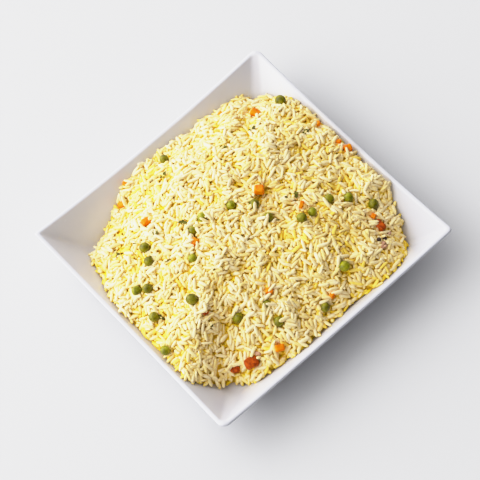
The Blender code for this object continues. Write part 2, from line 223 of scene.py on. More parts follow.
def new_group(name, inputs, outputs):
    """An empty shader node group with named float, colour or vector sockets."""
    group = bpy.data.node_groups.new(name, "ShaderNodeTree")
    for label, kind, value in inputs:
        socket = group.interface.new_socket(label, in_out="INPUT", socket_type="NodeSocket" + kind)
        socket.default_value = value
    for label, kind in outputs:
        group.interface.new_socket(label, in_out="OUTPUT", socket_type="NodeSocket" + kind)
    return group, group.nodes.new("NodeGroupInput"), group.nodes.new("NodeGroupOutput")


def object_noise(group, given, detail):
    """Noise over the object's own coordinates, its scale taken from the group's Size."""
    place, noise = group.nodes.new("ShaderNodeTexCoord"), group.nodes.new("ShaderNodeTexNoise")
    noise.inputs["Detail"].default_value = detail
    group.links.new(place.outputs["Object"], noise.inputs["Vector"])
    group.links.new(given.outputs["Size"], noise.inputs["Scale"])
    return noise.outputs["Fac"]


def make_mottle():
    """Colour = mix(Light, Dark) by object-space noise pushed to either side of its middle."""
    grey = (0.5, 0.5, 0.5, 1)
    group, given, result = new_group(
        "mottle", [("Light", "Color", grey), ("Dark", "Color", grey), ("Size", "Float", 100.0)],
        [("Color", "Color"), ("Mask", "Float")])
    add, link = group.nodes.new, group.links.new
    noise = object_noise(group, given, 3)
    spread = add("ShaderNodeMapRange")
    spread.inputs["From Min"].default_value = 0.35
    spread.inputs["From Max"].default_value = 0.68
    link(noise, spread.inputs["Value"])
    mix = add("ShaderNodeMix")
    mix.data_type = "RGBA"
    link(spread.outputs["Result"], mix.inputs["Factor"])
    link(given.outputs["Light"], mix.inputs["A"])
    link(given.outputs["Dark"], mix.inputs["B"])
    link(mix.outputs["Result"], result.inputs["Color"])
    link(spread.outputs["Result"], result.inputs["Mask"])
    return group


def make_moist():
    """Normal = bump of a noise, and Roughness = the given one plus a little of the same noise."""
    group, given, result = new_group(
        "moist_skin", [("Size", "Float", 600.0), ("Depth", "Float", 0.2), ("Roughness", "Float", 0.4)],
        [("Normal", "Vector"), ("Roughness", "Float")])
    add, link = group.nodes.new, group.links.new
    noise = object_noise(group, given, 4)
    bump = add("ShaderNodeBump")
    bump.inputs["Distance"].default_value = 0.6 * MM
    link(noise, bump.inputs["Height"])
    link(given.outputs["Depth"], bump.inputs["Strength"])
    wet = add("ShaderNodeMath")
    wet.operation = "MULTIPLY_ADD"
    wet.inputs[1].default_value = 0.22
    link(noise, wet.inputs[0])
    link(given.outputs["Roughness"], wet.inputs[2])
    link(bump.outputs["Normal"], result.inputs["Normal"])
    link(wet.outputs["Value"], result.inputs["Roughness"])
    return group


MOTTLE, MOIST = make_mottle(), make_moist()
print("groups:", [g.name for g in bpy.data.node_groups])

# %% One maker for every food finish
SOFT_DEPTH = 1.5 * MM
SOFT_TINT = (1.0, 0.6, 0.25)


def linear(red, green, blue):
    """A screen colour, 0 to 255, as the linear colour that nodes work in."""
    c = np.array((red, green, blue)) / 255
    return tuple(np.where(c <= 0.04045, c / 12.92, ((c + 0.055) / 1.055) ** 2.4).tolist()) + (1.0,)


def group_node(material, group, **values):
    """A copy of a node group in a material, with its named inputs set."""
    node = material.node_tree.nodes.new("ShaderNodeGroup")
    node.node_tree = group
    for label, value in values.items():
        node.inputs[label].default_value = value
    return node


def food_material(name, light, dark, mottle_size, skin_size, depth, roughness, soft=0.0, shine=0.3):
    """A Principled material of two mottled screen colours and moist skin, softened by light inside."""
    material = bpy.data.materials.new(name)
    material.use_nodes = True
    link = material.node_tree.links.new
    shader = material.node_tree.nodes["Principled BSDF"]
    colour = group_node(material, MOTTLE, Light=linear(*light), Dark=linear(*dark), Size=mottle_size)
    moist = group_node(material, MOIST, Size=skin_size, Depth=depth, Roughness=roughness)
    link(colour.outputs["Color"], shader.inputs["Base Color"])
    link(moist.outputs["Normal"], shader.inputs["Normal"])
    link(moist.outputs["Roughness"], shader.inputs["Roughness"])
    shader.inputs["Subsurface Weight"].default_value = soft
    shader.inputs["Subsurface Scale"].default_value = SOFT_DEPTH
    shader.inputs["Subsurface Radius"].default_value = SOFT_TINT
    shader.inputs["Specular IOR Level"].default_value = shine
    return material


print("white rice on screen 245 is", round(linear(245, 245, 245)[0], 3), "in linear light")

# %% [markdown]
# ## The table
# Nothing but a pale sheet for the plate to stand on, so that it casts a soft shadow.

# %% Table
TABLE_SIZE = 6

bpy.ops.mesh.primitive_plane_add(size=TABLE_SIZE, location=(0, 0, 0))
table = bpy.context.object
table.name = "table"
paper = bpy.data.materials.new("pale_paper")
paper.use_nodes = True
sheet = paper.node_tree.nodes["Principled BSDF"]
sheet.inputs["Base Color"].default_value = linear(204, 204, 206)
sheet.inputs["Roughness"].default_value = 0.9
table.data.materials.append(paper)
print("table:", TABLE_SIZE, "m wide")

# %% [markdown]
# ## The plate
# A square dish pressed from one sheet of clay: flat bottom, four sloping sides that dip towards their
# middles, a soft lip and a foot ring. It could be a cube with its edges pulled about, but a skin over
# square rings is simpler: the profile from foot to bottom is one list, and every ring is a square with
# rounded corners. The profile's own corners are rounded by curves, as glaze rounds them.

# %% Profile of the plate
plate_low, plate_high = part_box("plate")
PLATE_HALF = (plate_high.x - plate_low.x) / 2
CORNER_LIFT = 4.5 * MM
RIM_LEVEL = plate_high.z - CORNER_LIFT
SIDE_BOW = 1 * MM
FLOOR_TOP = 6.5 * MM
FLOOR_HALF = 86 * MM
FOOT_HALF = 79 * MM
FOOT_WIDTH = 5.5 * MM
CORNER_RADII = np.array((3.5, 8, 2.5, 7)) * MM

# half side, level, share of the rim's dip, corner roundness, and how much of each corner is rounded off
PROFILE = np.array((
    (20 * MM, 2.5 * MM, 0, 2.2, 0),
    (FOOT_HALF - FOOT_WIDTH - 1 * MM, 2.5 * MM, 0, 2.2, 0.8 * MM),
    (FOOT_HALF - FOOT_WIDTH, 0, 0, 2.2, 0.5 * MM),
    (FOOT_HALF, 0, 0, 2.2, 0.7 * MM),
    (FOOT_HALF + 1 * MM, 2.8 * MM, 0, 2.2, 1.0 * MM),
    (FLOOR_HALF + 1 * MM, 3.6 * MM, 0, 2.0, 3.0 * MM),
    (0.5 * (FLOOR_HALF + PLATE_HALF), 0.5 * RIM_LEVEL - 0.6 * MM, 0.5, 1.4, 6.0 * MM),
    (PLATE_HALF, RIM_LEVEL - 2.6 * MM, 1, 1.0, 1.2 * MM),
    (PLATE_HALF - 0.4 * MM, RIM_LEVEL, 1, 0.95, 1.0 * MM),
    (PLATE_HALF - 3.2 * MM, RIM_LEVEL, 1, 0.8, 1.2 * MM),
    (0.5 * (FLOOR_HALF + PLATE_HALF), 0.5 * (FLOOR_TOP + RIM_LEVEL) - 0.2 * MM, 0.5, 1.1, 6.0 * MM),
    (FLOOR_HALF + 3 * MM, FLOOR_TOP, 0, 1.5, 5.0 * MM),
    (60 * MM, FLOOR_TOP, 0, 2.2, 0),
    (20 * MM, FLOOR_TOP, 0, 2.2, 0),
))


def round_profile(profile, steps=5):
    """Replace each corner of the profile by a curve that starts and ends a set length away from it.

    The curve is a parabola: (1-t)^2 times its start, 2t(1-t) times the corner, t^2 times its end.
    """
    t = np.linspace(0, 1, steps)[:, None]
    rows = [profile[:1, :4]]
    for before, corner, after in zip(profile[:-2], profile[1:-1], profile[2:]):
        cut = corner[4]
        start = corner + (before - corner) * min(1, cut / np.hypot(*(before - corner)[:2]))
        end = corner + (after - corner) * min(1, cut / np.hypot(*(after - corner)[:2]))
        curve = (1 - t) ** 2 * start + 2 * t * (1 - t) * corner + t ** 2 * end
        rows.append(curve[:, :4] if cut else corner[None, :4])
    return np.concatenate(rows + [profile[-1:, :4]])


profile = round_profile(PROFILE)
print("profile rows:", len(profile))

# %% Square rings


def square_rings(profile, side_steps=26, corner_steps=9):
    """One ring for each row of the profile: straight sides joined by quarter circles.

    Along a side the share s runs from 0 at its middle to 1 at the corner. The rim dips by
    1 - s^2.4 and bows in by 1 - s^2, each by the row's own share of it.
    """
    half, level, lift, roundness = (profile[:, k, None] for k in range(4))
    parts = []
    for side in range(4):
        radius = CORNER_RADII[side] * roundness
        before = CORNER_RADII[side - 1] * roundness
        share = np.arange(side_steps) / side_steps
        along = -(half - before) + share * (2 * half - before - radius)
        angle = np.pi / 2 * np.arange(corner_steps) / corner_steps
        x = np.concatenate([np.broadcast_to(half, along.shape), half - radius + radius * np.cos(angle)], 1)
        y = np.concatenate([along, half - radius + radius * np.sin(angle)], 1)
        cos, sin = ((1, 0), (0, 1), (-1, 0), (0, -1))[side]
        parts.append(np.stack([cos * x - sin * y, sin * x + cos * y], -1))
    flat = np.concatenate(parts, 1)
    wide = np.abs(flat).max(-1)
    share = np.abs(flat).min(-1) / wide
    pull = 1 - lift * SIDE_BOW / PLATE_HALF * (1 - share ** 2)
    flat = np.where(np.abs(flat) == wide[..., None], flat * pull[..., None], flat)
    return np.concatenate([flat, (level + lift * CORNER_LIFT * share ** 2.4)[..., None]], -1)


plate = skin("plate_glazed", square_rings(profile))
print("plate faces:", len(plate.data.polygons))

# %% [markdown]
# ## Heights of the heap
# The frame's solid says how high the rice stands everywhere. Rays dropped on it give a map of heights,
# which is blurred to lose the solid's coarse bumps. The pits that hold the toppings are left out of
# the blur. Later the grains are laid until they fill the heap up to this map, give or take the clumps
# that any spooned rice has. Each topping lies in a shallow hollow, so that it can be seen.

# %% Tools for maps of heights
REACH = 120 * MM
COARSE = np.linspace(-REACH, REACH, 121)
FINE = np.linspace(-REACH, REACH, 481)
STEP = FINE[1] - FINE[0]
DRAW = np.random.default_rng(11)


def tree_over(*pieces):
    """A search tree over the triangles of some mesh objects, for rays and nearest points."""
    points, triangles, count = [], [], 0
    for piece in pieces:
        mesh = piece.data
        mesh.calc_loop_triangles()
        places = np.empty(3 * len(mesh.vertices), np.float32)
        mesh.vertices.foreach_get("co", places)
        corners = np.empty(3 * len(mesh.loop_triangles), np.int32)
        mesh.loop_triangles.foreach_get("vertices", corners)
        points.append(places.reshape(-1, 3))
        triangles.append(corners.reshape(-1, 3) + count)
        count += len(mesh.vertices)
    return BVHTree.FromPolygons(np.concatenate(points).tolist(), np.concatenate(triangles).tolist())


def drop_rays(tree, line, start=0.2):
    """Height of the highest surface at each point of a square grid, nan where there is none.

    Rays that start below the table go up and find the lowest surface.
    """
    way = Vector((0, 0, -1 if start > 0 else 1))
    hits = [tree.ray_cast(Vector((x, y, start)), way)[0] for y in line for x in line]
    return np.array([hit.z if hit else np.nan for hit in hits]).reshape(len(line), len(line))


def blur_matrix(line, width):
    """Weights exp(-(a-b)^2 / (2 width^2)) between the places of a line, each row summing to 1."""
    weights = np.exp(-0.5 * ((line[:, None] - line) / width) ** 2)
    return weights / weights.sum(1, keepdims=True)


def blurred(field, line, width):
    """A map over a square grid, blurred along both of its sides."""
    weights = blur_matrix(line, width)
    return weights @ field @ weights.T


def refined(field):
    """A coarse map read at the fine grid's places, with weights 1 - |a-b| / pitch along both sides."""
    weights = np.maximum(0, 1 - np.abs(FINE[:, None] - COARSE) / (COARSE[1] - COARSE[0]))
    return weights @ field @ weights.T


def clumps(width, height):
    """Seeded random bumps of one width on the coarse grid, with the given standard height."""
    rough = blurred(DRAW.normal(size=(len(COARSE), len(COARSE))), COARSE, width)
    return height * rough / rough.std()


def middle_and_size(name):
    """The middle of a node's box and its three sides."""
    low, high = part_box(name)
    return (low + high) / 2, high - low


print("fine map:", len(FINE), "by", len(FINE), "places,", round(STEP / MM, 2), "mm apart")

# %% The heap's top without its pits
PIT_MARGIN = 1 * MM
TOP_BLUR = 2.6 * MM

toppings = sorted(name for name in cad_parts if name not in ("plate", "rice"))
x, y = np.meshgrid(COARSE, COARSE)
rice_top = drop_rays(tree_over(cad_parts["rice"]), COARSE)
edge = np.isfinite(rice_top)
known = edge.copy()
for name in toppings:
    middle, size = middle_and_size(name)
    known &= np.hypot(x - middle.x, y - middle.y) > size.xy.length / 2 + PIT_MARGIN
filled = blurred(np.where(known, rice_top, 0), COARSE, TOP_BLUR)
heap_top = filled / np.maximum(1e-6, blurred(known, COARSE, TOP_BLUR))
lumps = clumps(10 * MM, 1.2 * MM) + clumps(5.0 * MM, 1.2 * MM) + clumps(2.2 * MM, 0.5 * MM)
smooth_top, target = refined(heap_top), refined(heap_top + lumps)
edge = edge.astype(float)
inside = refined(edge) > 0.5
ground = refined(np.nan_to_num(drop_rays(tree_over(plate), COARSE)))
print("heap covers", round(inside.sum() * STEP ** 2 * 1e4), "square cm, with", len(toppings), "toppings")

# %% Hollows round the toppings
HOLLOW_DEPTH = 3 * MM
HOLLOW_SLOPE = 1.2
SUNK_SHARE = 0.45

fine_x, fine_y = np.meshgrid(FINE, FINE)
hollow = np.zeros_like(target)
for name in toppings:
    middle, size = middle_and_size(name)
    beyond = np.hypot(fine_x - middle.x, fine_y - middle.y) - size.xy.length / 2.8 - 1 * MM
    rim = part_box(name)[1].z - SUNK_SHARE * size.z + HOLLOW_SLOPE * np.maximum(0, beyond)
    hollow = np.maximum(hollow, np.minimum(HOLLOW_DEPTH, target - rim))
target, smooth_top = target - hollow, smooth_top - hollow
topping_tree = tree_over(*(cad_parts[name] for name in toppings))
topping_top = np.nan_to_num(drop_rays(topping_tree, FINE))
topping_low = np.nan_to_num(drop_rays(topping_tree, FINE, -0.1), nan=1.0)
print("heap stands", round(float(target[inside].max()) / MM, 1), "mm high")

# %% [markdown]
# ## The core
# Only the outer grains of a heap can be seen. Under them lies one closed body, a few millimetres
# below the top, in the deeper yellow of rice that other rice shades. It follows the clumps and hollows.

# %% Core under the grains
LAYER = 4.4 * MM
CORE_COLUMNS, CORE_ROWS = 220, 84
SUNK_IN_PLATE = 1.0 * MM

soft_edge = refined(blurred(edge, COARSE, 2.5 * MM))
cover = np.clip((soft_edge - 0.75) / 0.24, 0, 1)
under_top = blurred(target, FINE, 1.5 * MM) - LAYER
under_edge = ground - SUNK_IN_PLATE
core_top = np.maximum(under_edge, cover * under_top + (1 - cover) * under_edge)


def look_up(field, x, y):
    """The value of a fine map at points, read between its cells."""
    i, j = (np.clip((c + REACH) / STEP, 0, len(FINE) - 1.001) for c in (y, x))
    a, b = i.astype(int), j.astype(int)
    i, j = i - a, j - b
    return ((1 - i) * ((1 - j) * field[a, b] + j * field[a, b + 1])
            + i * ((1 - j) * field[a + 1, b] + j * field[a + 1, b + 1]))


def heap_outline(columns):
    """Radius of the heap's outline in each direction: the last place along a ray that is inside."""
    angle = 2 * np.pi * np.arange(columns) / columns
    reach = np.arange(60 * MM, 150 * MM, 0.5 * MM)
    ray_x, ray_y = reach[:, None] * np.cos(angle), reach[:, None] * np.sin(angle)
    in_reach = np.maximum(np.abs(ray_x), np.abs(ray_y)) < REACH
    found = (look_up(inside.astype(float), ray_x, ray_y) > 0.5) & in_reach
    return angle, (found * reach[:, None]).max(0)


def core_rings(rows, columns):
    """Rings out from the middle over the core's top, then back along the plate below it."""
    angle, radius = heap_outline(columns)
    out = np.linspace(0.02, 0.985, rows)
    share = np.concatenate([out, (0.97, 0.9, 0.8, 0.6, 0.3)])[:, None]
    ring_x, ring_y = share * radius * np.cos(angle), share * radius * np.sin(angle)
    over = look_up(core_top, ring_x, ring_y)
    under = look_up(ground, ring_x, ring_y) - 0.9 * MM
    is_top = (np.arange(len(share)) < len(out))[:, None]
    return np.stack([ring_x, ring_y, np.where(is_top, over, under)], -1)


core = skin("rice_core", core_rings(CORE_ROWS, CORE_COLUMNS))
print("core faces:", len(core.data.polygons))

# %% [markdown]
# ## Laying the grains
# A scatter of grains at random heights would float and cross. A physics simulation of thousands of
# grains would take hours. Between the two lies a simple rule: drop one grain after the other onto a map
# of heights, let each come to rest on two points of ground, one on either side of its middle, and then
# raise the map where it lies. Grains so laid bridge each other and leave the small dark gaps of rice.

# %% Rule for one grain
ALONG = np.linspace(-0.9, 0.9, 9)
ACROSS = np.array((-0.3, 0.0, 0.3))
LEFT, RIGHT = ALONG[:4, None], ALONG[None, 5:]
LEFT_SHARE = RIGHT / (RIGHT - LEFT)


def rest(heights, x, y, turn, half, wide, thick):
    """Height of a grain's middle, its slope and its sideways lean where it comes to rest.

    Ground read along the grain is raised by thick/2 sqrt(1 - s^2), its belly there. Each point on
    the left with each on the right gives a line; the one that passes highest over the middle holds it.
    """
    cos, sin = math.cos(turn), math.sin(turn)
    spot_x = x + ALONG[:, None] * half * cos - ACROSS * wide * sin
    spot_y = y + ALONG[:, None] * half * sin + ACROSS * wide * cos
    rows = ((spot_y + REACH) / STEP + 0.5).astype(int)
    columns = ((spot_x + REACH) / STEP + 0.5).astype(int)
    strip = heights[rows, columns]
    line = strip.max(1) + thick / 2 * np.sqrt(1 - ALONG ** 2)
    over = line[:4, None] * LEFT_SHARE + line[None, 5:] * (1 - LEFT_SHARE)
    a, b = divmod(int(over.argmax()), 4)
    middle = over[a, b]
    slope = (line[5 + b] - line[a]) / ((ALONG[5 + b] - ALONG[a]) * half)
    if line[4] > middle:
        middle = line[4]
        low = ((line[5:] - middle) / (ALONG[5:] * half)).max()
        high = ((line[:4] - middle) / (ALONG[:4] * half)).min()
        slope = min(max(slope, low), high)
    lean = math.atan2(strip[3:6, 2].mean() - strip[3:6, 0].mean(), 0.6 * wide)
    return middle, slope, max(-0.6, min(0.6, 0.7 * lean))


def raise_map(heights, x, y, turn, half, wide, thick, middle, slope):
    """Raise the map to the grain's upper side, middle + slope s + thick/2 sqrt(1 - s^4 - t^2)."""
    reach = int(half / STEP) + 1
    row, column = int((y + REACH) / STEP + 0.5), int((x + REACH) / STEP + 0.5)
    patch = np.s_[row - reach:row + reach + 1, column - reach:column + reach + 1]
    off_x, off_y = FINE[patch[1]][None, :] - x, FINE[patch[0]][:, None] - y
    s = off_x * math.cos(turn) + off_y * math.sin(turn)
    t = off_y * math.cos(turn) - off_x * math.sin(turn)
    flat = half / math.sqrt(1 + slope * slope)
    bulge = 1 - (s / flat) ** 4 - (2 * t / wide) ** 2
    top = middle + slope * s + thick / 2 * np.sqrt(np.maximum(bulge, 0))
    heights[patch] = np.where(bulge > 0, np.maximum(heights[patch], top), heights[patch])


# %% Size and pitch of one grain
GRAIN_LENGTH, GRAIN_WIDTH, GRAIN_THICK = 9.6 * MM, 3.0 * MM, 2.2 * MM
WHOLE, BROKEN = (0.86, 1.14), (0.45, 0.75)
PITCH, PITCH_MOST = 0.25, 0.9
CALM_HEIGHT = 6 * MM
TIP = 0.8


def draw_size(broken_share):
    """Length, width and thickness of one grain, broken or whole by lot."""
    broken = DRAW.random() < broken_share
    length = GRAIN_LENGTH * DRAW.uniform(*(BROKEN if broken else WHOLE))
    return length, GRAIN_WIDTH * DRAW.uniform(0.88, 1.12), GRAIN_THICK * DRAW.uniform(0.9, 1.1)


def draw_pitch(over_plate):
    """A random further slope, seldom steep, that fades out close to the plate."""
    pitch = float(np.clip(PITCH * DRAW.standard_t(3), -PITCH_MOST, PITCH_MOST))
    return pitch * min(1, max(0, over_plate / CALM_HEIGHT - 0.4))


def tips_over(target, x, y, turn, half, middle, slope):
    """How far the higher of a grain's two ends stands over the target."""
    end_x, end_y = half * TIP * math.cos(turn), half * TIP * math.sin(turn)
    below = look_up(target, np.array((x + end_x, x - end_x)), np.array((y + end_y, y - end_y)))
    return (middle + TIP * half * slope * np.array((1, -1)) - below).max()


print("a whole grain is about", round(GRAIN_LENGTH / GRAIN_WIDTH, 1), "times as long as wide")

# %% Lay them one after the other
STICKY = 0.6
STEEPEST = 1.2
FEWEST_PLACES, PLACES_AT_ONCE = 50, 1500


def lay_grains(heights, target, allowed, most, tries, gap, slack, broken_share):
    """Drop grains where the map lies more than a gap under its target, until few places are left.

    A grain that would stand out of the heap by more than the slack is left out. Few grains in a spooned
    heap lie quite flat, so each is pitched by a further random slope, its lower end sunk in the rest,
    except close to the plate.

    A row of the result is x, y, z, turn, slope, lean, length, width, thickness, depth below target.
    """
    laid, spots = [], []
    for _ in range(tries):
        if not spots:
            low = np.flatnonzero(allowed & (target - heights > gap))
            if len(low) < FEWEST_PLACES or len(laid) >= most:
                break
            spots = list(DRAW.choice(low, min(PLACES_AT_ONCE, len(low)), replace=False))
        row, column = divmod(int(spots.pop()), len(FINE))
        if target[row, column] - heights[row, column] < gap:
            continue
        x, y = FINE[column] + DRAW.uniform(-0.2, 0.2) * MM, FINE[row] + DRAW.uniform(-0.2, 0.2) * MM
        length, wide, thick = draw_size(broken_share)
        turn = DRAW.uniform(0, 2 * np.pi)
        half = length / 2
        if max(abs(x), abs(y)) + half > REACH - 1 * MM:
            continue
        middle, slope, lean = rest(heights, x, y, turn, half, STICKY * wide, STICKY * thick)
        over = tips_over(target, x, y, turn, half, middle, slope)
        if abs(slope) > STEEPEST or max(middle + thick / 2 - target[row, column], over) > slack:
            continue
        pitch = draw_pitch(middle - ground[row, column])
        slope, middle = slope + pitch, middle - 0.35 * half * abs(pitch)
        raise_map(heights, x, y, turn, half, STICKY * wide, STICKY * thick, middle, slope)
        laid.append((x, y, middle, turn, slope, lean, length, wide, thick, smooth_top[row, column] - middle))
    return np.array(laid)


print("no grain is steeper than", round(math.degrees(math.atan(STEEPEST + PITCH_MOST))), "degrees")

# %% [markdown]
# ## Where grains may lie
# The toppings came last into the real heap, so the map is capped over each one that is sunk in it: no
# grain lands on a cap. Under a topping that stands clear of the rice, grains go on as elsewhere. At the
# heap's ragged edge some grains have slid out onto the plate, where they lie in a single layer.

# %% Caps over the toppings and a ragged edge
CAP = 4 * MM
SPILL_LAYER = 2.2 * MM

bare = blurred((topping_top > target - 1.2 * MM).astype(float), FINE, 0.9 * MM) > 0.8
bare &= topping_low < target - 1.5 * MM
caps = np.where(bare, topping_top + CAP, 0)
heights = np.maximum.reduce([core_top, ground, caps])
ragged = refined(clumps(2.5 * MM, 0.11))
spill = (soft_edge > 0.68 + ragged) & (np.maximum(abs(fine_x), abs(fine_y)) < REACH - 9 * MM)
target = np.where(inside, target, ground + SPILL_LAYER)
free = spill & (caps == 0)
bed = target - np.where(inside, 1.5, 0.3) * MM
print("caps:", round((caps > 0).sum() * STEP ** 2 * 1e4, 1), "square cm")

# %% [markdown]
# ## Five layers of grains
# Whole grains come first, up to a bed just below the heap's top. Broken ones fill the gaps that are
# left, and patches hide what still shows of the core. A loose layer on top makes the surface rough.
# Last, with the caps taken away, a few grains are leant on the rims of the toppings.

# %% Fill the heap
whole = lay_grains(heights, bed, free, most=5500, tries=60000, gap=0.8 * MM, slack=0.9 * MM,
                   broken_share=0.1)
filling = lay_grains(heights, bed, free, most=2000, tries=25000, gap=1.2 * MM, slack=1.2 * MM,
                     broken_share=1.0)
naked = free & (heights < core_top + 0.3 * MM)
patches = lay_grains(heights, core_top + 1.6 * MM, naked, most=900, tries=8000, gap=1.2 * MM,
                     slack=2.6 * MM, broken_share=0.5)
loose = free & inside & (refined(clumps(3.5 * MM, 1.0)) > -0.5)
top = lay_grains(heights, target + 0.4 * MM, loose, most=1500, tries=20000, gap=1.4 * MM,
                 slack=0.9 * MM, broken_share=0.06)
print("grains:", len(whole), "and", len(filling) + len(patches), "to fill,", len(top), "on top")

# %% Lean grains on the toppings
heights = np.where(caps > 0, topping_top - 0.3 * MM, heights)
seen = blurred((topping_top > heights - 0.5 * MM).astype(float), FINE, 0.9 * MM)
leaning = np.maximum(heights, topping_top)
on_rims = lay_grains(leaning, leaning + 2.0 * MM, free & (seen > 0.05) & (seen < 0.5), most=80,
                     tries=2500, gap=1.3 * MM, slack=1.2 * MM, broken_share=0.1)
grains = np.concatenate([whole, filling, patches, top, on_rims])
mean_top = blurred(heights, FINE, 3.0 * MM)
print(len(on_rims), "grains on rims; mean gap left in mm:",
      round(float((target - heights)[free].mean()) / MM, 2))

# %% [markdown]
# ## Shape of a grain
# A cooked grain is a thin spindle, a little flat, bent, with one blunter end. Five rings of eight
# points and two tips are enough at this size. The same few points serve every grain: they are scaled,
# turned and moved by arrays as long as the heap has grains, so a whole kind is one mesh. Each point
# keeps a number of painted shade with some random tone. It is high where the point is sunk between
# other grains or looks sideways, where shade falls, so there the grain is painted a deeper golden.

# %% Grains as one mesh
GRAIN_RINGS = np.array((-0.92, -0.6, 0.0, 0.6, 0.92))
GRAIN_SIDES = 8
BEND_MM, TAPER = 0.35, 0.18


def grain_points():
    """Unit grain: radius (1 - |u|^3.4)^0.5 along u from -1 to 1, its parameter u, and its two tips."""
    angle = 2 * np.pi * np.arange(GRAIN_SIDES) / GRAIN_SIDES
    radius = np.sqrt(1 - np.abs(GRAIN_RINGS) ** 3.4)[:, None]
    rings = np.stack([np.broadcast_to(GRAIN_RINGS[:, None], (len(GRAIN_RINGS), GRAIN_SIDES)),
                      radius * np.cos(angle), radius * np.sin(angle)], -1)
    return ring_points(rings, np.array(((-1.0, 0, 0), (1.0, 0, 0))))


def grains_mesh(name, rows):
    """All the grains of the given rows as one mesh, with an attribute of painted shade and random tone, and
    the attribute tip.

    Across its axis a point bends by bend (1 - u^2), and one end is thinner by the taper.
    """
    shape = grain_points()
    u = shape[:, 0]
    x, y, z, turn, slope, lean, length, wide, thick, depth = (rows[:, k, None] for k in range(10))
    each = (len(rows), 1)
    bend = DRAW.normal(0, BEND_MM, each) * MM
    taper = 1 + DRAW.uniform(-TAPER, TAPER, each) * u
    along = u * length / 2
    across = shape[:, 1] * wide / 2 * taper + bend * (1 - u ** 2)
    above = shape[:, 2] * thick / 2 * taper
    tilt = np.arctan(slope)
    side, rise = across * np.cos(lean) - above * np.sin(lean), across * np.sin(lean) + above * np.cos(lean)
    forward, rise = along * np.cos(tilt) - rise * np.sin(tilt), along * np.sin(tilt) + rise * np.cos(tilt)
    points = np.stack([x + forward * np.cos(turn) - side * np.sin(turn),
                       y + forward * np.sin(turn) + side * np.cos(turn), z + rise], -1)
    quads, fans = ring_faces(len(GRAIN_RINGS), GRAIN_SIDES)
    offset = (np.arange(len(rows)) * len(shape))[:, None, None]
    made = fill_mesh(name, points.reshape(-1, 3), (quads + offset).reshape(-1, 4),
                     (fans + offset).reshape(-1, 3))
    # Painted shade: points sunk below the heap's mean top, and points on a grain's sides and underside, get a
    # higher number and so a deeper golden; the random part is real tone.
    sunk = look_up(mean_top, points[..., 0], points[..., 1]) - points[..., 2]
    side_shade = 0.4 * (0.6 - shape[:, 2])
    shade_and_tone = (sunk + 0.6 * MM) / (1.6 * MM) + side_shade + DRAW.uniform(-0.15, 0.2, each)
    write_attribute(made, "shade_and_tone", np.clip(shade_and_tone, 0, 1).ravel())
    write_attribute(made, "tip", np.broadcast_to(np.abs(u), (len(rows), len(shape))).ravel())
    return made


def sort_grains(grains):
    """Kinds by length and by a random lot that leans towards golden for deep grains, as painted shade."""
    length, depth = grains[:, 6], grains[:, 9]
    short = length < 0.8 * GRAIN_LENGTH
    # depth pushes the lot towards the golden kind: painted shade on top of random tone
    lot = DRAW.random(len(grains)) + 0.14 * depth / MM
    golden = ~short & (lot > 1.15)
    pale = ~short & (lot < 0.62)
    return {"rice_pale": grains[pale], "rice_cream": grains[~short & ~golden & ~pale],
            "rice_golden": grains[golden], "rice_broken": grains[short]}


kinds = {name: grains_mesh(name, rows) for name, rows in sort_grains(grains).items()}
print({name: len(made.data.polygons) for name, made in kinds.items()})

# %% [markdown]
# ## Toppings
# Peas, carrot dice and peppercorns keep the places and sizes of their solids. Each gets a finer skin:
# rays sent out from the middle of its solid find how far its surface is, the distances are softened as
# boiling softens edges, and a few waves in space add dents and wrinkles.

# %% Skins over the toppings' solids
# rings, points in a ring, times softened, depth of the dents as a share, and how close they lie
TOPPING_SKINS = {"pea": (20, 28, 3, 0.035, 4.5), "carrot": (24, 36, 1, 0.02, 5.0),
                 "peppercorn": (12, 18, 1, 0.05, 9.0)}
FIRST_SEED = 50


def directions(rows, columns, pole):
    """Unit directions on rings around a pole: polar angle by row, turn by column, and the two poles."""
    polar = np.pi * (np.arange(rows) + 0.5) / rows
    turn = 2 * np.pi * np.arange(columns) / columns
    polar, turn = polar[:, None], turn[None, :]
    local = np.stack([np.sin(polar) * np.cos(turn), np.sin(polar) * np.sin(turn),
                      np.cos(polar) * np.ones_like(turn)], -1)
    basis = np.array(Vector(pole).to_track_quat("Z", "Y").to_matrix())
    return local @ basis.T, np.stack([basis[:, 2], -basis[:, 2]])


def wrinkles(unit, waves, pitch, draw):
    """Sum of cosines along random directions, about -1 to 1: cos(pitch k . d + phase) / sqrt(waves)."""
    ways = draw.normal(size=(waves, 3))
    ways *= pitch / np.linalg.norm(ways, axis=1, keepdims=True)
    return np.cos(unit @ ways.T + draw.uniform(0, 2 * np.pi, waves)).sum(-1) / math.sqrt(waves)


def skin_over(node, name, rows, columns, soften, dents, pitch, seed):
    """A skin at the distance of the node's surface, softened a number of times, plus dents."""
    draw = np.random.default_rng(seed)
    middle, size = middle_and_size(node)
    tree = tree_over(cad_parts[node])
    unit, poles = directions(rows, columns, draw.normal(size=3))

    def reach(way):
        hit = tree.ray_cast(middle, Vector(way))[0]
        return (hit - middle).length if hit else size.x / 2

    far = np.array([reach(way) for way in unit.reshape(-1, 3)]).reshape(rows, columns)
    ends = np.array([reach(way) for way in poles])
    for _ in range(soften):
        far = (np.roll(far, 1, 1) + 2 * far + np.roll(far, -1, 1)) / 4
        padded = np.concatenate([far[:1], far, far[-1:]])
        far = (padded[:-2] + 2 * padded[1:-1] + padded[2:]) / 4
    ends = 0.3 * ends + 0.7 * np.array([far[0].mean(), far[-1].mean()])
    far = far * (1 + dents * wrinkles(unit, 5, pitch, draw))
    centre = np.array(middle)
    return skin(name, centre + unit * far[..., None], centre + poles * ends[:, None])


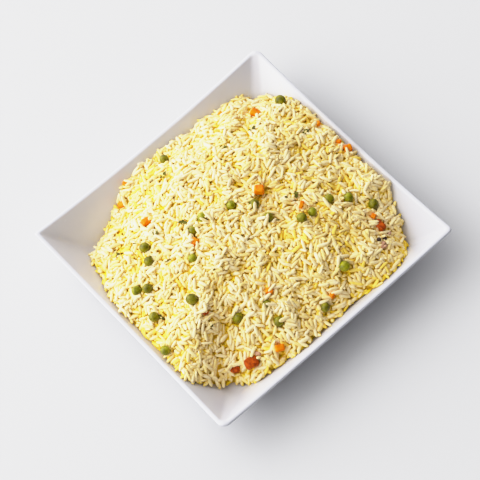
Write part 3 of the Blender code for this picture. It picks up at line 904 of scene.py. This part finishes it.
made_toppings = {}
for number, node in enumerate(toppings):
    made_toppings[node] = skin_over(node, node + "_skin", *TOPPING_SKINS[node.split("_")[0]],
                                    seed=FIRST_SEED + number)
print("toppings:", len(made_toppings))

# %% [markdown]
# ## Herbs and crumbs
# Chopped herb leaves lie on the rice, and by the red carrot pieces are a few pink-brown crumbs of fried
# onion. They are too thin or small for solids of their own, so they are one mesh each, laid on the
# finished map of heights.

# %% Leaf flakes and crumbs
FLAKES = np.array(((-58, 66), (-58, 36), (-26, 94.5), (17, 49), (-29, -31), (-38.5, -52), (-59, -83),
                   (-78, -13), (14.5, -94.5))) * MM
CRUMBS = np.array(((80, 81), (82, 84), (89, 74), (91, 72), (88, -58), (84, -60))) * MM
LEAF_SIZES = ((6, 8.5), (3.2, 4.2))
SCRAP_SIZES = ((2, 3.5), (1.0, 1.5))
SCRAPS = 16


def slope_basis(x, y, turn):
    """Two directions in the heap's surface and its normal, from the map read 2 mm to each side."""
    step = 2 * MM
    rise_x = (look_up(smooth_top, x + step, y) - look_up(smooth_top, x - step, y)) / (2 * step)
    rise_y = (look_up(smooth_top, x, y + step) - look_up(smooth_top, x, y - step)) / (2 * step)
    normal = np.array((-rise_x, -rise_y, 1.0))
    normal /= np.linalg.norm(normal)
    first = np.array((math.cos(turn), math.sin(turn), 0.0))
    first -= normal * (first @ normal)
    first /= np.linalg.norm(first)
    return first, np.cross(normal, first), normal


def flake(x, y, length, wide, draw):
    """Leaf over u along and v across: half width sin(pi u)^0.7 with lobes, edges curled up by v^2."""
    u = np.linspace(0.02, 0.98, 12)[:, None]
    v = np.linspace(-1, 1, 5)[None, :]
    half = wide / 2 * np.sin(np.pi * u) ** 0.7 * (1 + 0.35 * np.cos(5 * np.pi * u + draw.uniform(0, 6)))
    along, across = (u - 0.5) * length + 0 * v, half * v
    lift = 0.5 * MM * v ** 2 + 0.5 * MM * np.cos(2.5 * np.pi * u + draw.uniform(0, 6))
    first, second, normal = slope_basis(x, y, draw.uniform(0, 2 * np.pi))
    level = max(float(look_up(heights, x + dx, y + dy)) for dx in (-MM, 0, MM) for dy in (-MM, 0, MM))
    upper = (np.array((x, y, level + 0.25 * MM)) + along[..., None] * first + across[..., None] * second
             + lift[..., None] * normal)
    lower = upper - 0.25 * MM * normal
    return np.concatenate([upper, lower[:, ::-1]], 1)


def joined_skins(name, all_rings):
    """Several skins of rings in one mesh."""
    points, quads, fans, count = [], [], [], 0
    for rings in all_rings:
        a, b = ring_faces(rings.shape[0], rings.shape[1])
        points.append(ring_points(rings))
        quads.append(a[:, ::-1] + count)
        fans.append(b[:, ::-1] + count)
        count += len(points[-1])
    return fill_mesh(name, np.concatenate(points), np.concatenate(quads), np.concatenate(fans))


def crumb(x, y, size, draw):
    """A small lump: a ball of 8 rings squeezed and dented, half sunk in the grains."""
    unit, _ = directions(8, 12, (0, 0, 1))
    squeeze = draw.uniform(0.6, 1.2, 3)
    far = size / 2 * (1 + 0.25 * wrinkles(unit, 4, 3.5, draw))
    return (unit * squeeze * far[..., None]
            + np.array((x, y, float(look_up(heights, x, y)) + 0.2 * size)))


leaf_draw = np.random.default_rng(23)
spots = [(x, y, LEAF_SIZES) for x, y in FLAKES.tolist()]
for _ in range(SCRAPS):
    angle, share = leaf_draw.uniform(0, 2 * np.pi), math.sqrt(leaf_draw.uniform(0.02, 0.8))
    spots.append((share * 105 * MM * math.cos(angle), share * 100 * MM * math.sin(angle), SCRAP_SIZES))
herbs = joined_skins("herb_flakes", [
    flake(x, y, *(leaf_draw.uniform(*limits) * MM for limits in sizes), leaf_draw) for x, y, sizes in spots])
crumbs = joined_skins("onion_crumbs", [crumb(x, y, leaf_draw.uniform(3.0, 5.0) * MM, leaf_draw)
                                       for x, y in CRUMBS.tolist()])
print("herb faces:", len(herbs.data.polygons), "crumb faces:", len(crumbs.data.polygons))

# %% [markdown]
# ## Materials
# Glaze is glass over white clay: almost no bump, a clear gloss, a trace of yellow oil next to the rice.
# Rice is dyed yellow by turmeric. The ridge of a grain is cream; its sides and what lies deeper are
# painted more golden as painted shade, and its tips are a little paler. Each kind has its own three
# colours. Cooked peas are olive, with a tight skin that shines. Carrot goes from orange to brick red.

# %% Glaze and rice


def attribute_node(material, name):
    """A node that reads a number stored on the mesh."""
    node = material.node_tree.nodes.new("ShaderNodeAttribute")
    node.attribute_name = name
    return node


def mix_node(material, colour_a, colour_b, factor):
    """A colour mix; sockets are linked, plain values are set."""
    node = material.node_tree.nodes.new("ShaderNodeMix")
    node.data_type = "RGBA"
    for label, value in (("A", colour_a), ("B", colour_b), ("Factor", factor)):
        socket = node.inputs[label]
        if isinstance(value, bpy.types.NodeSocket):
            material.node_tree.links.new(value, socket)
        else:
            socket.default_value = value
    return node.outputs["Result"]


def ramp_node(material, socket, low, high, most):
    """A number that is 0 up to low, grows evenly, and is most from high on."""
    node = material.node_tree.nodes.new("ShaderNodeMapRange")
    for label, value in (("From Min", low), ("From Max", high), ("To Max", most)):
        node.inputs[label].default_value = value
    material.node_tree.links.new(socket, node.inputs["Value"])
    return node.outputs["Result"]


def glaze_material():
    """White glaze, with the oil mask of the mesh broken up by mottling."""
    material = food_material("white_glaze", (208, 208, 216), (203, 203, 212), 30.0, 60.0, 0.05, 0.12)
    nodes, link = material.node_tree.nodes, material.node_tree.links.new
    shader = nodes["Principled BSDF"]
    mottled = shader.inputs["Base Color"].links[0].from_socket
    patchy = group_node(material, MOTTLE, Light=(0, 0, 0, 1), Dark=(1, 1, 1, 1), Size=120.0)
    both = nodes.new("ShaderNodeMath")
    both.operation = "MULTIPLY"
    link(attribute_node(material, "oil").outputs["Fac"], both.inputs[0])
    link(patchy.outputs["Mask"], both.inputs[1])
    link(mix_node(material, mottled, linear(226, 205, 140), both.outputs["Value"]),
         shader.inputs["Base Color"])
    shader.inputs["IOR"].default_value = 1.52
    shader.inputs["Coat Weight"].default_value = 0.3
    shader.inputs["Coat Roughness"].default_value = 0.06
    return material


def rice_material(name, light, dark, shade_gold):
    """Mottled grain colour that turns to a deeper golden by painted shade and random tone, paler at its tips.
    """
    material = food_material(name, light, dark, 260.0, 900.0, 0.2, 0.42, shine=0.25)
    shader = material.node_tree.nodes["Principled BSDF"]
    mottled = shader.inputs["Base Color"].links[0].from_socket
    shade_and_tone = attribute_node(material, "shade_and_tone").outputs["Fac"]
    tip = attribute_node(material, "tip").outputs["Fac"]
    # painted shade: the grain turns to the golden colour where the painted-shade attribute is high
    with_shade = mix_node(material, mottled, linear(*shade_gold), ramp_node(material, shade_and_tone, 0.1, 0.9, 1.0))
    tipped = mix_node(material, with_shade, linear(*light), ramp_node(material, tip, 0.6, 1.0, 0.3))
    material.node_tree.links.new(tipped, shader.inputs["Base Color"])
    return material


def oil_mask(made, tree, full, none):
    """1 where the plate's inner face is nearer the rice than full, 0 beyond none, between them a ramp."""
    places = np.empty(3 * len(made.data.vertices), np.float32)
    made.data.vertices.foreach_get("co", places)
    places = places.reshape(-1, 3)
    gaps = np.array([tree.find_nearest(Vector(p))[3] for p in places.tolist()])
    inner = places[:, 2] > look_up(ground, places[:, 0], places[:, 1]) - 1 * MM
    return np.where(inner, np.clip((none - gaps) / (none - full), 0, 1), 0)


write_attribute(plate, "oil", 0.5 * oil_mask(plate, tree_over(core), full=1 * MM, none=7 * MM))
place_on_frame(plate, glaze_material(), "white_glaze", "plate")
place_on_frame(core, food_material("rice_depth", (236, 196, 40), (224, 178, 20), 300.0, 700.0, 0.6, 0.5),
               "yellow_rice", "rice")
# light and dark of the mottling, and the deeper golden of painted shade
RICE_COLOURS = {
    "rice_pale": ((249, 229, 182), (249, 223, 150), (244, 209, 14)),
    "rice_cream": ((249, 224, 160), (249, 217, 124), (244, 207, 12)),
    "rice_golden": ((249, 217, 106), (247, 206, 62), (242, 201, 8)),
    "rice_broken": ((249, 226, 170), (249, 219, 134), (244, 208, 12)),
}
for name, made in kinds.items():
    place_on_frame(made, rice_material(name, *RICE_COLOURS[name]), "yellow_rice")
print("rice kinds:", sorted(RICE_COLOURS))

# %% Peas, carrots, peppercorns, herbs and crumbs
BRICK = ("carrot_12", "carrot_14", "carrot_15", "carrot_16")

pea_finishes = [
    food_material("pea_olive", (138, 132, 6), (84, 80, 3), 260.0, 420.0, 0.8, 0.16, shine=0.25),
    food_material("pea_bright", (154, 152, 10), (98, 98, 4), 260.0, 420.0, 0.8, 0.16, shine=0.25)]
carrot_finishes = [
    food_material("carrot_orange", (248, 146, 0), (230, 104, 0), 300.0, 800.0, 0.5, 0.34, soft=0.1, shine=0.1),
    food_material("carrot_brick", (196, 86, 4), (132, 46, 0), 420.0, 700.0, 0.6, 0.34, shine=0.1)]
pepper_finish = food_material("pepper_black", (70, 48, 44), (38, 22, 20), 500.0, 1200.0, 0.9, 0.5)
for number, (node, made) in enumerate(made_toppings.items()):
    if node.startswith("pea_"):
        place_on_frame(made, pea_finishes[number % 3 == 0], "pea_green", node)
    elif node.startswith("carrot_"):
        place_on_frame(made, carrot_finishes[node in BRICK], "carrot_orange", node)
    else:
        place_on_frame(made, pepper_finish, "pepper_black", node)
place_on_frame(herbs, food_material("herb_green", (112, 108, 12), (58, 54, 3), 400.0, 900.0, 0.6,
                                    0.5, shine=0.15), "pea_green")
place_on_frame(crumbs, food_material("onion_brown", (206, 160, 130), (140, 96, 62), 350.0, 800.0,
                                     0.6, 0.35, soft=0.2), "pepper_black")
print("materials:", len(bpy.data.materials))
